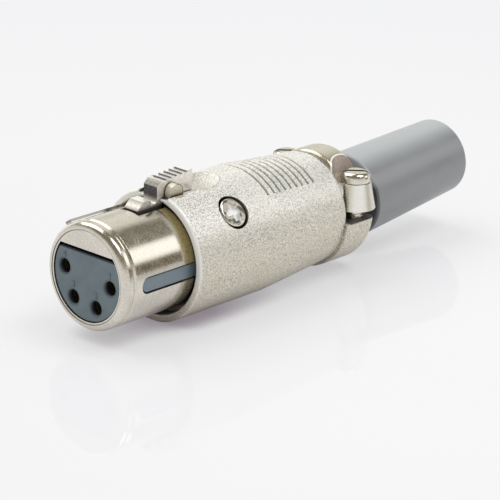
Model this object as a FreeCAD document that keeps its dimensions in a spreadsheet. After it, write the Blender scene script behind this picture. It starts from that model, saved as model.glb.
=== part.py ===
import FreeCAD, Part
import math
import os

import Sketcher

# Female XLR cable connector with four contacts, in millimetres.
# X runs along the axis from the mating face to the cable, Z points up to the latch.
# The origin is the centre of the mating face.

# Driving dimensions: lengths in millimetres, angles in degrees.
SIZES = {
    # Nose barrel
    "barrel_diameter": 15.9,
    "barrel_wall": 0.95,
    "barrel_engagement": 12.9,
    "lip_thickness": 0.9,
    "lip_reach": 0.4,
    "opening_flat_height": 4.05,
    "nose_length": 13.1,
    "nose_round": 1.0,
    "face_step": 0.08,
    "face_ring_width": 0.06,
    "bead_position": 1.9,
    "bead_width": 0.7,
    "bead_depth": 0.18,
    "key_rib_angle": 55.0,
    "key_rib_width": 1.1,
    "key_rib_height": 0.5,
    "key_rib_front": 1.1,
    "side_slot_width": 2.5,
    "side_slot_front": 3.3,
    "side_slot_drop": 0.15,
    # Body shell
    "rim_gap": 0.75,
    "rim_wall": 1.15,
    "rim_round": 0.35,
    "rim_inner_round": 0.3,
    "rim_recess_depth": 2.4,
    "body_straight_length": 18.4,
    "body_taper_length": 14.0,
    "body_taper_drop": 1.1,
    "shoulder_length": 1.2,
    "cavity_wall": 1.6,
    "rear_wall": 1.6,
    "rest_flat_depth": 0.2,
    # Grip grooves above and below
    "grip_lead": 1.1,
    "grip_pitch": 1.33,
    "grip_land": 0.55,
    "grip_groove_depth": 0.35,
    "grip_half_angle": 44.0,
    # Latch
    "lever_width": 2.65,
    "lever_overhang": 0.45,
    "lever_rise": 1.75,
    "lever_pad_rise": 0.5,
    "lever_pad_length": 6.35,
    "lever_chamfer": 0.8,
    "stem_gap": 0.4,
    "stem_setback": 0.6,
    "hook_length": 3.9,
    "hook_root_length": 1.2,
    "hook_rise": 1.25,
    "hook_depth": 1.15,
    "hook_ramp": 1.1,
    "ridge_depth": 0.25,
    "stem_round": 0.7,
    "ear_radius": 1.35,
    "ear_thickness": 1.05,
    "pivot_setback": 2.3,
    "pivot_depth": 0.15,
    "pivot_pin_diameter": 1.5,
    "window_setback": 1.2,
    "window_margin": 0.6,
    "relief_depth": 0.9,
    "relief_margin": 0.4,
    "scoop_radius": 6.5,
    "scoop_depth": 1.4,
    "scoop_setback": 1.8,
    "spring_diameter": 2.2,
    "spring_wire": 0.35,
    # Insulator and contacts
    "face_recess": 0.25,
    "face_round": 0.2,
    "face_corner": 0.7,
    "insulator_setback": 2.0,
    "contact_circle_radius": 4.55,
    "contact_turn": 6.4,
    "contact_diameter": 3.0,
    "contact_bore": 2.05,
    "contact_bore_depth": 11.0,
    "contact_cover": 1.05,
    "contact_tail": 4.35,
    "solder_cup_bore": 2.0,
    "solder_cup_wall": 0.3,
    "solder_cup_depth": 3.6,
    "solder_cup_mouth": 2.5,
    "pin_hole_diameter": 2.1,
    "pin_hole_chamfer": 0.15,
    # Ground lug
    "lug_thickness": 0.4,
    "lug_width": 3.0,
    "lug_setback": 1.5,
    "lug_foot_length": 3.0,
    "lug_tail": 5.8,
    "lug_eye_diameter": 1.4,
    # Insert screw
    "insert_screw_setback": 9.25,
    "insert_screw_angle": 48.5,
    "insert_screw_head": 4.55,
    "insert_screw_play": 0.375,
    "insert_screw_sink": 0.1,
    "insert_screw_round": 0.4,
    "insert_screw_shank": 2.0,
    "insert_screw_length": 4.05,
    "cross_recess_span": 2.9,
    "cross_recess_width": 0.9,
    "cross_recess_depth": 0.4,
    # Cable clamp
    "clamp_length": 6.0,
    "clamp_gap": 1.7,
    "clamp_gap_height": 0.1,
    "clamp_front_gap": 0.1,
    "saddle_inset": 0.6,
    "saddle_edge_round": 1.4,
    "saddle_dome_radius": 7.3,
    "saddle_dome_lift": 1.6,
    "saddle_front_round": 0.9,
    "saddle_rear_round": 2.0,
    "spot_face_margin": 1.2,
    "clamp_screw_wall": 1.7,
    "clamp_ear_margin": 0.15,
    "clamp_ear_height": 5.0,
    "clamp_ear_flare": 0.8,
    "clamp_thread": 2.5,
    "clamp_thread_depth": 2.8,
    "clamp_head_diameter": 4.6,
    "clamp_head_height": 1.55,
    "clamp_head_round": 1.0,
    "clamp_slot_angle": 131.5,
    "clamp_slot_width": 0.7,
    "clamp_slot_depth": 0.7,
    "clamp_screw_length": 8.5,
    # Cable boot
    "cable_bore": 7.0,
    "boot_neck_wall": 1.3,
    "boot_flange_lip": 1.2,
    "boot_flange_length": 1.8,
    "boot_shoulder_gap": 3.5,
    "boot_diameter": 13.5,
    "boot_rear_diameter": 12.1,
    "boot_length": 23.3,
    "boot_lean": 4.4,
    "boot_drop": 0.45,
    "boot_round": 0.9,
    "boot_front_round": 0.45,
    # Clearances
    "fit_gap": 0.05,
    "moving_gap": 0.2,
    "pivot_gap": 0.05,
    "pin_seat_gap": 0.01,
    "insulator_gap": 0.55,
    "insulator_play": 0.05,
    "rib_gap": 0.25,
    "rib_inset": 0.25,
}

GRIP_GROOVES = 9
LATCH_RIDGES = 6
SPRING_TURNS = 4
CONTACT_ANGLES = (180.0, 240.0, 300.0, 0.0)


class Formula:
    """A number together with the sheet expression that gives it."""

    def __init__(self, value, text):
        self.value = float(value)
        self.text = text

    @staticmethod
    def of(item):
        if isinstance(item, Formula):
            return item
        return Formula(item, "%.6g" % item)

    def joined(self, sign, other, value):
        return Formula(value, "(%s %s %s)" % (self.text, sign, other.text))

    def __add__(self, other):
        other = Formula.of(other)
        return self.joined("+", other, self.value + other.value)

    def __sub__(self, other):
        other = Formula.of(other)
        return self.joined("-", other, self.value - other.value)

    def __mul__(self, other):
        other = Formula.of(other)
        return self.joined("*", other, self.value * other.value)

    def __truediv__(self, other):
        other = Formula.of(other)
        return self.joined("/", other, self.value / other.value)

    def __neg__(self):
        return Formula(0, "0") - self


def root(item):
    return Formula(math.sqrt(item.value), "sqrt(%s)" % item.text)


def cosine(angle):
    return Formula(math.cos(math.radians(angle.value)), "cos(%s)" % angle.text)


def sine(angle):
    return Formula(math.sin(math.radians(angle.value)), "sin(%s)" % angle.text)


class Sheet:
    """The spreadsheet of driving dimensions, read as formulas by name."""

    def __init__(self, document, sizes):
        self.cells = document.addObject("Spreadsheet::Sheet", "sizes")
        for row, (name, value) in enumerate(sizes.items(), start=1):
            self.cells.set("A%d" % row, name)
            self.cells.set("B%d" % row, str(value))
            self.cells.setAlias("B%d" % row, name)
            setattr(self, name, Formula(value, "sizes.%s" % name))


doc = FreeCAD.newDocument("xlr_female_connector")
size = Sheet(doc, SIZES)
doc.recompute()


# Helpers for sketches and features

def bind(item, name, formula):
    """Sets a property to a formula's expression."""
    formula = Formula.of(formula)
    item.setExpression(name, formula.text)


def new_body(label):
    body = doc.addObject("PartDesign::Body", label)
    body.Label = label
    return body


def new_sketch(body, name, role, offset=None, turn=None):
    """A sketch on one of the body's origin planes, lifted by offset or turned about X."""
    sketch = body.newObject("Sketcher::SketchObject", "%s_%s" % (body.Label, name))
    plane = [item for item in body.Origin.OriginFeatures if item.Role == role][0]
    sketch.AttachmentSupport = (plane, [""])
    sketch.MapMode = "FlatFace"
    if offset is not None:
        bind(sketch, "AttachmentOffset.Base.z", offset)
    if turn is not None:
        turned = FreeCAD.Rotation(FreeCAD.Vector(1, 0, 0), turn.value)
        sketch.AttachmentOffset = FreeCAD.Placement(FreeCAD.Vector(), turned)
        bind(sketch, "AttachmentOffset.Rotation.Angle", turn)
    return sketch


def place_point(sketch, line, end, point):
    """Holds one end of a line, or a centre, at its two formulas from the origin."""
    for kind, item in zip(("DistanceX", "DistanceY"), point):
        item = Formula.of(item)
        index = sketch.addConstraint(Sketcher.Constraint(kind, -1, 1, line, end, item.value))
        sketch.setExpression("Constraints[%d]" % index, item.text)


def vector(point):
    return FreeCAD.Vector(Formula.of(point[0]).value, Formula.of(point[1]).value, 0)


def add_polygon(sketch, points):
    """A closed outline of straight lines through points of formulas."""
    first = sketch.GeometryCount
    count = len(points)
    for index, point in enumerate(points):
        after = points[(index + 1) % count]
        sketch.addGeometry(Part.LineSegment(vector(point), vector(after)))
    for index, point in enumerate(points):
        line = first + index
        after = first + (index + 1) % count
        sketch.addConstraint(Sketcher.Constraint("Coincident", line, 2, after, 1))
        place_point(sketch, line, 1, point)


def add_circle(sketch, centre, radius):
    radius = Formula.of(radius)
    circle = Part.Circle(vector(centre), FreeCAD.Vector(0, 0, 1), radius.value)
    line = sketch.addGeometry(circle)
    place_point(sketch, line, 3, centre)
    index = sketch.addConstraint(Sketcher.Constraint("Radius", line, radius.value))
    sketch.setExpression("Constraints[%d]" % index, radius.text)


def add_arc_outline(sketch, centre, radius, start, end, points):
    """An arc, counterclockwise from start to end, closed by lines from end through points to start."""
    middle = vector(centre)
    angles = []
    for point in (start, end):
        ray = vector(point) - middle
        angles.append(math.atan2(ray.y, ray.x))
    circle = Part.Circle(middle, FreeCAD.Vector(0, 0, 1), Formula.of(radius).value)
    arc = sketch.addGeometry(Part.ArcOfCircle(circle, angles[0], angles[1]))
    place_point(sketch, arc, 3, centre)
    place_point(sketch, arc, 1, start)
    ray = vector(end) - middle
    steep = abs(ray.x) > abs(ray.y)
    level = Formula.of(end[1] if steep else end[0])
    kind = "DistanceY" if steep else "DistanceX"
    index = sketch.addConstraint(Sketcher.Constraint(kind, -1, 1, arc, 2, level.value))
    sketch.setExpression("Constraints[%d]" % index, level.text)
    corners = [end] + points + [start]
    lines = []
    for point, after in zip(corners, corners[1:]):
        lines.append(sketch.addGeometry(Part.LineSegment(vector(point), vector(after))))
    sketch.addConstraint(Sketcher.Constraint("Coincident", arc, 2, lines[0], 1))
    for line, after, point in zip(lines, lines[1:], points):
        sketch.addConstraint(Sketcher.Constraint("Coincident", line, 2, after, 1))
        place_point(sketch, after, 1, point)
    sketch.addConstraint(Sketcher.Constraint("Coincident", lines[-1], 2, arc, 1))


def revolve(body, name, points, kind="PartDesign::Revolution"):
    """Turns an outline in the X-Z plane a full turn about the X axis."""
    sketch = new_sketch(body, name + "_sketch", "XZ_Plane")
    add_polygon(sketch, points)
    feature = body.newObject(kind, "%s_%s" % (body.Label, name))
    feature.Profile = sketch
    feature.ReferenceAxis = (sketch, ["H_Axis"])
    feature.Angle = 360
    return feature


def extrude(body, name, sketch, length, cut=False, both=False, flip=False):
    """Pads a sketch along its normal, or cuts with it along its normal when cut is set."""
    kind = "PartDesign::Pocket" if cut else "PartDesign::Pad"
    feature = body.newObject(kind, "%s_%s" % (body.Label, name))
    feature.Profile = sketch
    feature.SideType = "Symmetric" if both else "One side"
    feature.Reversed = flip != cut
    bind(feature, "Length", length)
    return feature


def slab(body, name, points, width, cut=False):
    """Adds or cuts a prism of an X-Z outline, centred on the X-Z plane."""
    sketch = new_sketch(body, name + "_sketch", "XZ_Plane")
    add_polygon(sketch, points)
    return extrude(body, name, sketch, width, cut=cut, both=True)


def box_points(low_x, low_z, high_x, high_z):
    return [(low_x, low_z), (high_x, low_z), (high_x, high_z), (low_x, high_z)]


def along_x(body, name, centre, radius, start, length, cut=False):
    """Adds or cuts a round bar that runs along X from start."""
    sketch = new_sketch(body, name + "_sketch", "YZ_Plane", offset=start)
    add_circle(sketch, centre, radius)
    return extrude(body, name, sketch, length, cut=cut)


def along_z(body, name, centres, radius, start, length, cut=False):
    """Adds or cuts upright round bars that rise from start."""
    sketch = new_sketch(body, name + "_sketch", "XY_Plane", offset=start)
    for centre in centres:
        add_circle(sketch, centre, radius)
    return extrude(body, name, sketch, length, cut=cut)


def round_edges(body, name, radius, wanted, kind="PartDesign::Fillet"):
    """Rounds or chamfers the edges of the body that the test picks."""
    doc.recompute()
    base = body.Tip
    names = []
    for index, edge in enumerate(base.Shape.Edges, start=1):
        if wanted(edge):
            names.append("Edge%d" % index)
    feature = body.newObject(kind, "%s_%s" % (body.Label, name))
    feature.Base = (base, names)
    bind(feature, "Size" if kind.endswith("Chamfer") else "Radius", radius)
    return feature


def is_circle(edge, x, z, radius):
    """True for a circle with its centre at x and z on the X-Z plane."""
    if not isinstance(edge.Curve, Part.Circle):
        return False
    middle = FreeCAD.Vector(Formula.of(x).value, 0, Formula.of(z).value)
    right_size = abs(edge.Curve.Radius - Formula.of(radius).value) < 1e-4
    return right_size and edge.Curve.Center.distanceToPoint(middle) < 1e-4


def is_ring(edge, x, radius):
    """True for a circle about the X axis at a position along X."""
    return is_circle(edge, x, 0, radius)


# Places that several pieces share

barrel_radius = size.barrel_diameter / 2
barrel_bore_radius = barrel_radius - size.barrel_wall
opening_radius = barrel_bore_radius - size.lip_reach
rim_bore_radius = barrel_radius + size.rim_gap
body_radius = rim_bore_radius + size.rim_wall
body_rear_radius = body_radius - size.body_taper_drop
rest_radius = body_radius - size.rest_flat_depth
through = body_radius * 4

rim_x = size.nose_length
recess_x = rim_x + size.rim_recess_depth
barrel_end_x = rim_x + size.barrel_engagement
taper_x = rim_x + size.body_straight_length
shoulder_x = taper_x + size.body_taper_length
rear_x = shoulder_x + size.shoulder_length

insulator_flat = size.opening_flat_height - size.insulator_gap
insulator_end_x = barrel_end_x - size.insulator_setback
contact_front_x = size.face_recess + size.contact_cover

lever_front_x = rim_x - size.lever_overhang
pad_front_x = lever_front_x + size.lever_chamfer
lever_rear_x = pad_front_x + size.lever_pad_length
lever_top = body_radius + size.lever_rise
stem_top = barrel_radius + size.stem_gap
hook_top = barrel_radius + size.hook_rise
hook_bottom = barrel_radius - size.hook_depth
window_rear_x = rim_x + size.window_setback
ear_inner = size.lever_width / 2 + size.moving_gap
ear_outer = ear_inner + size.ear_thickness
pivot_x = rim_x + size.pivot_setback
pivot_z = body_radius - size.pivot_depth
pin_radius = size.pivot_pin_diameter / 2
spring_x = lever_front_x - size.spring_diameter / 2

insert_screw_x = rim_x + size.insert_screw_setback
screw_top_radius = body_radius - size.insert_screw_sink
screw_end_radius = screw_top_radius - size.insert_screw_length

neck_radius = size.cable_bore / 2 + size.boot_neck_wall
neck_hole_radius = neck_radius + size.fit_gap
clamp_front_x = rear_x + size.clamp_front_gap
clamp_rear_x = rear_x + size.clamp_length
clamp_head_radius = size.clamp_head_diameter / 2
clamp_ear_radius = clamp_head_radius + size.clamp_ear_margin
clamp_screw_x = clamp_front_x + clamp_ear_radius + size.clamp_ear_flare
clamp_screw_y = body_radius - size.clamp_screw_wall - size.clamp_thread / 2
clamp_sides = [(clamp_screw_x, clamp_screw_y), (clamp_screw_x, -clamp_screw_y)]
lower_gap = size.clamp_gap_height - size.clamp_gap / 2
upper_gap = size.clamp_gap_height + size.clamp_gap / 2
boot_front_x = clamp_rear_x + size.boot_shoulder_gap


def wall_radius(position):
    """Outer radius of the body at a position along X."""
    if position.value < taper_x.value:
        return body_radius
    slope = (body_radius - body_rear_radius) / size.body_taper_length
    return body_radius - slope * (position - taper_x)


# The pieces

def make_body_shell():
    body = new_body("body_shell")
    cavity_radius = barrel_bore_radius
    cavity_rear_radius = body_rear_radius - size.cavity_wall
    inner_rear_x = rear_x - size.rear_wall
    barrel_seat_x = barrel_end_x + size.fit_gap
    barrel_bore = barrel_radius + size.fit_gap
    outline = [
        (rim_x, rim_bore_radius),
        (rim_x, body_radius),
        (taper_x, body_radius),
        (shoulder_x, body_rear_radius),
        (rear_x, body_rear_radius),
        (rear_x, neck_hole_radius),
        (inner_rear_x, neck_hole_radius),
        (inner_rear_x, cavity_rear_radius),
        (taper_x, cavity_radius),
        (barrel_seat_x, cavity_radius),
        (barrel_seat_x, barrel_bore),
        (recess_x, barrel_bore),
        (recess_x, rim_bore_radius),
    ]
    revolve(body, "casting", outline)
    round_edges(body, "rim", size.rim_round, lambda edge: is_ring(edge, rim_x, body_radius))
    round_edges(body, "rim_inside", size.rim_inner_round,
                lambda edge: is_ring(edge, rim_x, rim_bore_radius))
    round_edges(body, "shoulder", size.shoulder_length - size.fit_gap,
                lambda edge: is_ring(edge, rear_x, body_rear_radius))
    add_lower_saddle(body)
    add_latch_seat(body)
    add_grip(body)
    cut_rest_flat(body)
    return body


def add_lower_saddle(body):
    """The lower half of the cable clamp, cast on the rear of the body."""
    overlap = size.rear_wall / 2
    radius = body_radius - size.saddle_inset
    half_width = root(radius * radius - lower_gap * lower_gap)
    sketch = new_sketch(body, "saddle_sketch", "YZ_Plane", offset=rear_x - overlap)
    add_arc_outline(sketch, (0, 0), radius, (-half_width, lower_gap), (half_width, lower_gap), [])
    extrude(body, "saddle", sketch, size.clamp_length + overlap)
    round_edges(body, "saddle_edge", size.saddle_edge_round,
                lambda edge: is_ring(edge, clamp_rear_x, radius))
    along_x(body, "saddle_bore", (0, 0), neck_hole_radius, rear_x - size.rear_wall,
            size.clamp_length + size.rear_wall * 2, cut=True)
    along_z(body, "saddle_threads", clamp_sides, size.clamp_thread / 2 + size.fit_gap,
            lower_gap - size.clamp_thread_depth, through, cut=True)


def add_latch_seat(body):
    """Ears, slot, pivot hole and thumb scoop of the latch, and the hole of the insert screw."""
    slot_rear = lever_rear_x + size.moving_gap * 2
    relief_floor = body_radius - size.relief_depth
    relief = box_points(rim_x - size.rim_wall, relief_floor, slot_rear, through)
    slab(body, "latch_relief", relief, (ear_outer + size.relief_margin) * 2, cut=True)
    base = relief_floor - size.fit_gap * 3
    left = pivot_x - size.ear_radius
    right = pivot_x + size.ear_radius
    sketch = new_sketch(body, "ears_sketch", "XZ_Plane")
    add_arc_outline(sketch, (pivot_x, pivot_z), size.ear_radius, (right, pivot_z), (left, pivot_z),
                    [(left, base), (right, base)])
    extrude(body, "ears", sketch, ear_outer * 2, both=True)
    scoop = body.newObject("PartDesign::SubtractiveSphere", "body_shell_scoop")
    bind(scoop, "Radius", size.scoop_radius)
    bind(scoop, "Placement.Base.x", lever_rear_x + size.scoop_setback)
    bind(scoop, "Placement.Base.z", body_radius + size.scoop_radius - size.scoop_depth)
    slot = box_points(rim_x - size.rim_wall, barrel_bore_radius, slot_rear, through)
    slab(body, "latch_slot", slot, ear_inner * 2, cut=True)
    sketch = new_sketch(body, "pivot_sketch", "XZ_Plane")
    add_circle(sketch, (pivot_x, pivot_z), pin_radius + size.pin_seat_gap)
    extrude(body, "pivot_blind", sketch, ear_outer * 2 - size.ear_thickness, cut=True, both=True)
    sketch = new_sketch(body, "pivot_open_sketch", "XZ_Plane")
    add_circle(sketch, (pivot_x, pivot_z), pin_radius + size.pin_seat_gap)
    extrude(body, "pivot_open", sketch, ear_outer * 2, cut=True, flip=True)
    sketch = new_sketch(body, "screw_sketch", "XY_Plane", turn=size.insert_screw_angle)
    add_circle(sketch, (insert_screw_x, 0), size.insert_screw_head / 2 + size.insert_screw_play)
    extrude(body, "screw_recess", sketch, through, cut=True)


def add_grip(body):
    """Rows of grooves round the top and the bottom of the tapered grip."""
    for name, sign in (("top", 1), ("bottom", -1)):
        sketch = new_sketch(body, "grip_%s_sketch" % name, "XZ_Plane")
        for index in range(GRIP_GROOVES):
            middle = taper_x - size.grip_lead + size.grip_pitch * index
            surface = wall_radius(middle)
            half = (size.grip_pitch - size.grip_land) / 2
            outside = surface + size.grip_groove_depth / 2
            inside = surface - size.grip_groove_depth
            points = [
                (middle - half, outside * sign),
                (middle + half, outside * sign),
                (middle, inside * sign),
            ]
            add_polygon(sketch, points)
        feature = body.newObject("PartDesign::Groove", "body_shell_grip_" + name)
        feature.Profile = sketch
        feature.ReferenceAxis = (sketch, ["H_Axis"])
        feature.Midplane = True
        bind(feature, "Angle", size.grip_half_angle * 2)


def cut_rest_flat(body):
    """The narrow flat under the body and saddle that the connector lies on."""
    flat = box_points(rim_x - size.rim_wall, -through, clamp_rear_x + size.rim_wall,
                      -rest_radius)
    slab(body, "rest_flat", flat, through, cut=True)


def make_barrel():
    body = new_body("coupling_barrel")
    bead_half = size.bead_width / 2
    step_radius = barrel_radius - size.nose_round - size.face_ring_width
    outline = [
        (size.face_step, 0),
        (size.face_step, step_radius),
        (0, step_radius),
        (0, barrel_radius),
        (size.bead_position - bead_half, barrel_radius),
        (size.bead_position, barrel_radius - size.bead_depth),
        (size.bead_position + bead_half, barrel_radius),
        (barrel_end_x, barrel_radius),
        (barrel_end_x, 0),
    ]
    revolve(body, "sleeve", outline)
    round_edges(body, "nose", size.nose_round, lambda edge: is_ring(edge, 0, barrel_radius))
    sketch = new_sketch(body, "key_sketch", "XY_Plane", turn=size.key_rib_angle - 90)
    half_width = size.key_rib_width / 2
    key_rear = recess_x - size.moving_gap
    add_polygon(sketch, box_points(size.key_rib_front, -half_width, key_rear, half_width))
    extrude(body, "key_rib", sketch, barrel_radius + size.key_rib_height)
    along_x(body, "bore", (0, 0), barrel_bore_radius, size.lip_thickness, barrel_end_x, cut=True)
    radius = opening_radius
    flat = size.opening_flat_height
    half_chord = root(radius * radius - flat * flat)
    sketch = new_sketch(body, "opening_sketch", "YZ_Plane", offset=-size.lip_thickness)
    add_arc_outline(sketch, (0, 0), radius, (-half_chord, flat), (half_chord, flat), [])
    extrude(body, "opening", sketch, size.lip_thickness * 3, cut=True)
    cut_side_slots(body)
    window = box_points(lever_front_x - size.hook_length - size.moving_gap * 2, insulator_flat,
                        window_rear_x, through)
    slab(body, "latch_window", window, size.lever_width + size.window_margin * 2, cut=True)
    cut_screw_hole(body, 0)
    return body


def cut_screw_hole(body, start):
    """The hole for the insert screw's shank, outward from a distance off the axis."""
    sketch = new_sketch(body, "screw_sketch", "XY_Plane", turn=size.insert_screw_angle)
    add_circle(sketch, (insert_screw_x, 0), size.insert_screw_shank / 2 + size.fit_gap)
    hole = extrude(body, "screw_hole", sketch, through, cut=True)
    bind(sketch, "AttachmentOffset.Base.y", -sine(size.insert_screw_angle) * start)
    bind(sketch, "AttachmentOffset.Base.z", cosine(size.insert_screw_angle) * start)
    return hole


def cut_side_slots(body):
    """Round-ended slots in both sides of the barrel, open to its rear."""
    radius = size.side_slot_width / 2
    centre_x = size.side_slot_front + radius
    end_x = barrel_end_x + size.side_slot_width
    top = radius - size.side_slot_drop
    bottom = -radius - size.side_slot_drop
    sketch = new_sketch(body, "side_slot_sketch", "XZ_Plane")
    add_arc_outline(sketch, (centre_x, -size.side_slot_drop), radius, (centre_x, top), (centre_x, bottom),
                    [(end_x, bottom), (end_x, top)])
    extrude(body, "side_slots", sketch, through, cut=True, both=True)


def contact_place(angle):
    """Centre of a contact on the Y-Z plane, with the whole pattern turned a little about X."""
    turned = size.contact_turn + angle
    radius = size.contact_circle_radius
    return radius * cosine(turned), radius * sine(turned)


def make_insulator():
    body = new_body("insulator")
    front_radius = opening_radius - size.insulator_play
    main_radius = barrel_bore_radius - size.fit_gap * 2
    step_x = size.lip_thickness + size.fit_gap
    end_x = insulator_end_x
    outline = [
        (size.face_recess, 0),
        (size.face_recess, front_radius),
        (step_x, front_radius),
        (step_x, main_radius),
        (end_x, main_radius),
        (end_x, 0),
    ]
    revolve(body, "moulding", outline)
    rib_half = size.side_slot_width / 2 - size.rib_gap
    rib_reach = barrel_radius - size.rib_inset
    rib_top = rib_half - size.side_slot_drop
    rib_bottom = -rib_half - size.side_slot_drop
    centre_x = size.side_slot_front + size.rib_gap + rib_half
    sketch = new_sketch(body, "rib_sketch", "XZ_Plane")
    add_arc_outline(sketch, (centre_x, -size.side_slot_drop), rib_half,
                    (centre_x, rib_top), (centre_x, rib_bottom), [(end_x, rib_bottom), (end_x, rib_top)])
    extrude(body, "ribs", sketch, rib_reach * 2, both=True)
    top = box_points(-size.lip_thickness, insulator_flat, end_x + size.lip_thickness, through)
    slab(body, "top_flat", top, through, cut=True)

    def is_face_corner(edge):
        box = edge.BoundBox
        level = abs(box.ZMin - insulator_flat.value) < 1e-4
        along = isinstance(edge.Curve, Part.Line) and box.YLength < 1e-4
        return level and along and box.XMin < step_x.value - 1e-4

    round_edges(body, "face_corners", size.face_corner, is_face_corner)

    def is_face_rim(edge):
        return edge.BoundBox.XMax < size.face_recess.value + 1e-4

    round_edges(body, "face_rim", size.face_round, is_face_rim)
    for number, angle in enumerate(CONTACT_ANGLES, start=1):
        centre = contact_place(angle)
        along_x(body, "pin_hole_%d" % number, centre, size.pin_hole_diameter / 2, 0,
                contact_front_x + size.fit_gap, cut=True)
        along_x(body, "contact_hole_%d" % number, centre, size.contact_diameter / 2 + size.fit_gap,
                contact_front_x, insulator_end_x, cut=True)
    face = size.face_recess.value
    hole = size.pin_hole_diameter.value / 2

    def is_hole_rim(edge):
        curve = edge.Curve
        return (isinstance(curve, Part.Circle) and abs(curve.Center.x - face) < 1e-4
                and abs(curve.Radius - hole) < 1e-4)

    round_edges(body, "hole_chamfers", size.pin_hole_chamfer, is_hole_rim, kind="PartDesign::Chamfer")
    cut_screw_hole(body, screw_end_radius - size.fit_gap)
    return body


def make_contact(number, angle):
    body = new_body("contact_%d" % number)
    radius = size.contact_diameter / 2
    bore = size.contact_bore / 2
    cup = size.solder_cup_bore / 2
    cup_radius = cup + size.solder_cup_wall
    front = contact_front_x + size.fit_gap
    floor = front + size.contact_bore_depth
    end = insulator_end_x + size.contact_tail
    outline = [
        (front, bore),
        (front, radius),
        (insulator_end_x, radius),
        (insulator_end_x, cup_radius),
        (end, cup_radius),
        (end, cup),
        (end - size.solder_cup_depth, cup),
        (end - size.solder_cup_depth, 0),
        (floor, 0),
        (floor, bore),
    ]
    revolve(body, "turning", outline)
    mouth = box_points(end - size.solder_cup_mouth, 0, end + cup, through)
    slab(body, "cup_mouth", mouth, through, cut=True)
    centre = contact_place(angle)
    bind(body, "Placement.Base.y", centre[0])
    bind(body, "Placement.Base.z", centre[1])
    return body


def make_lever():
    body = new_body("latch_lever")
    hook_front = lever_front_x - size.hook_length
    points = [
        (hook_front, hook_bottom),
        (hook_front, hook_top - size.hook_ramp),
        (hook_front + size.hook_ramp, hook_top),
        (lever_front_x - size.hook_root_length, hook_top),
        (lever_front_x - size.hook_root_length, stem_top),
        (lever_front_x, stem_top),
        (lever_front_x, lever_top - size.lever_chamfer),
        (pad_front_x, lever_top),
    ]
    ridge_pitch = size.lever_pad_length / LATCH_RIDGES
    for index in range(1, LATCH_RIDGES):
        ridge_x = pad_front_x + ridge_pitch * index
        ridge_top = lever_top + size.lever_pad_rise * (index / LATCH_RIDGES)
        points.append((ridge_x, ridge_top - size.ridge_depth))
        points.append((ridge_x, ridge_top))
    stem_x = window_rear_x - size.stem_setback
    points += [
        (lever_rear_x, lever_top + size.lever_pad_rise),
        (lever_rear_x, stem_top),
        (stem_x, stem_top),
        (stem_x, hook_bottom),
    ]
    slab(body, "casting", points, size.lever_width)
    stem_corner = FreeCAD.Vector(lever_front_x.value, 0, stem_top.value)
    round_edges(body, "stem_root", size.stem_round,
                lambda edge: edge.CenterOfMass.distanceToPoint(stem_corner) < 1e-4)
    sketch = new_sketch(body, "pivot_sketch", "XZ_Plane")
    add_circle(sketch, (pivot_x, pivot_z), pin_radius + size.pivot_gap)
    extrude(body, "pivot_hole", sketch, size.lever_width * 2, cut=True, both=True)
    return body


def make_latch_pin():
    pin = doc.addObject("Part::Cylinder", "latch_pin")
    pin.Label = "latch_pin"
    bind(pin, "Radius", pin_radius)
    near_end = ear_outer - size.ear_thickness / 2
    bind(pin, "Height", ear_outer + near_end - size.fit_gap * 2)
    pin.Placement.Rotation = FreeCAD.Rotation(FreeCAD.Vector(1, 0, 0), -90)
    bind(pin, "Placement.Base.x", pivot_x)
    bind(pin, "Placement.Base.y", size.fit_gap - near_end)
    bind(pin, "Placement.Base.z", pivot_z)
    return pin


def make_latch_spring():
    mean_radius = (size.spring_diameter - size.spring_wire) / 2
    height = hook_bottom - insulator_flat - size.spring_wire - size.fit_gap * 2
    coil = doc.addObject("Part::Helix", "latch_spring_coil")
    bind(coil, "Radius", mean_radius)
    bind(coil, "Height", height)
    bind(coil, "Pitch", height / SPRING_TURNS)
    wire = doc.addObject("Part::Circle", "latch_spring_wire")
    bind(wire, "Radius", size.spring_wire / 2)
    bind(wire, "Placement.Base.x", mean_radius)
    wire.Placement.Rotation = FreeCAD.Rotation(FreeCAD.Vector(1, 0, 0), 90)
    spring = doc.addObject("Part::Sweep", "latch_spring")
    spring.Label = "latch_spring"
    spring.Sections = [wire]
    spring.Spine = coil
    spring.Solid = True
    spring.Frenet = True
    bind(spring, "Placement.Base.x", spring_x)
    bind(spring, "Placement.Base.z", insulator_flat + size.spring_wire / 2 + size.fit_gap)
    return spring


def make_ground_lug():
    body = new_body("ground_lug")
    thick = size.lug_thickness
    half = size.lug_width / 2
    top = root(barrel_bore_radius * barrel_bore_radius - half * half) - size.fit_gap
    low = insulator_flat + size.fit_gap
    foot_front = window_rear_x + size.lug_setback
    riser = foot_front + size.lug_foot_length
    tail = insulator_end_x + size.lug_tail
    points = [
        (foot_front, top - thick),
        (riser - thick, top - thick),
        (riser - thick, low),
        (tail, low),
        (tail, low + thick),
        (riser, low + thick),
        (riser, top),
        (foot_front, top),
    ]
    slab(body, "strip", points, size.lug_width)
    along_z(body, "eye", [(tail - size.lug_width / 2, 0)], size.lug_eye_diameter / 2, low - thick,
            thick * 3, cut=True)
    return body


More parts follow.
